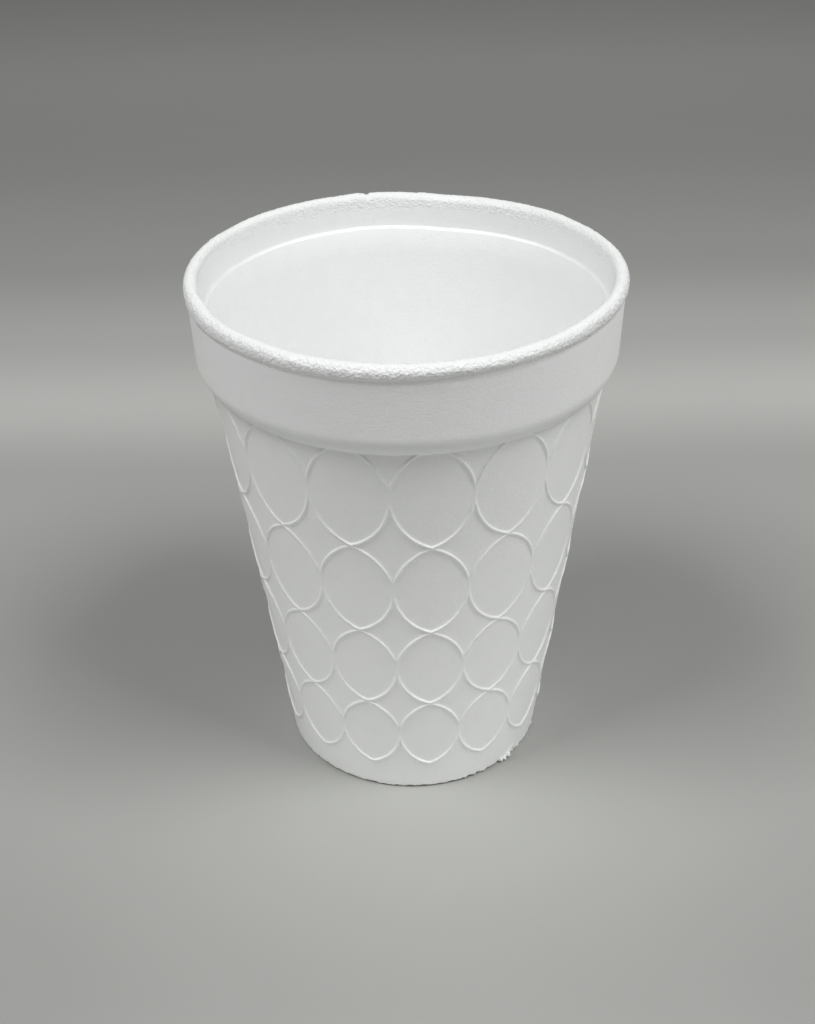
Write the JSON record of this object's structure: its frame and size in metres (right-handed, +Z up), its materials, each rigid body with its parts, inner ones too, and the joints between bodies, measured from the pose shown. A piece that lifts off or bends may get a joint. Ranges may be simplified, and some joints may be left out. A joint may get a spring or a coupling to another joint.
{
  "type": "foam cup",
  "caption": "Disposable foam drinking cup, tapered, with a rolled lip, a thick band under it and raised rings on the wall.",
  "frame": {"origin": "centre of the circle that the foot ring stands on, at table level", "axes": "+Z up along the cup's axis, through the mouth; the rings repeat round the axis, so X and Y are free"},
  "size_m": [0.0888, 0.0888, 0.1134],
  "materials": {
    "foam": "matt white expanded polystyrene foam, fine fused cells, slightly rough lip"
  },
  "bodies": {
    "root": {"cup": "foam"}
  },
  "joints": []
}
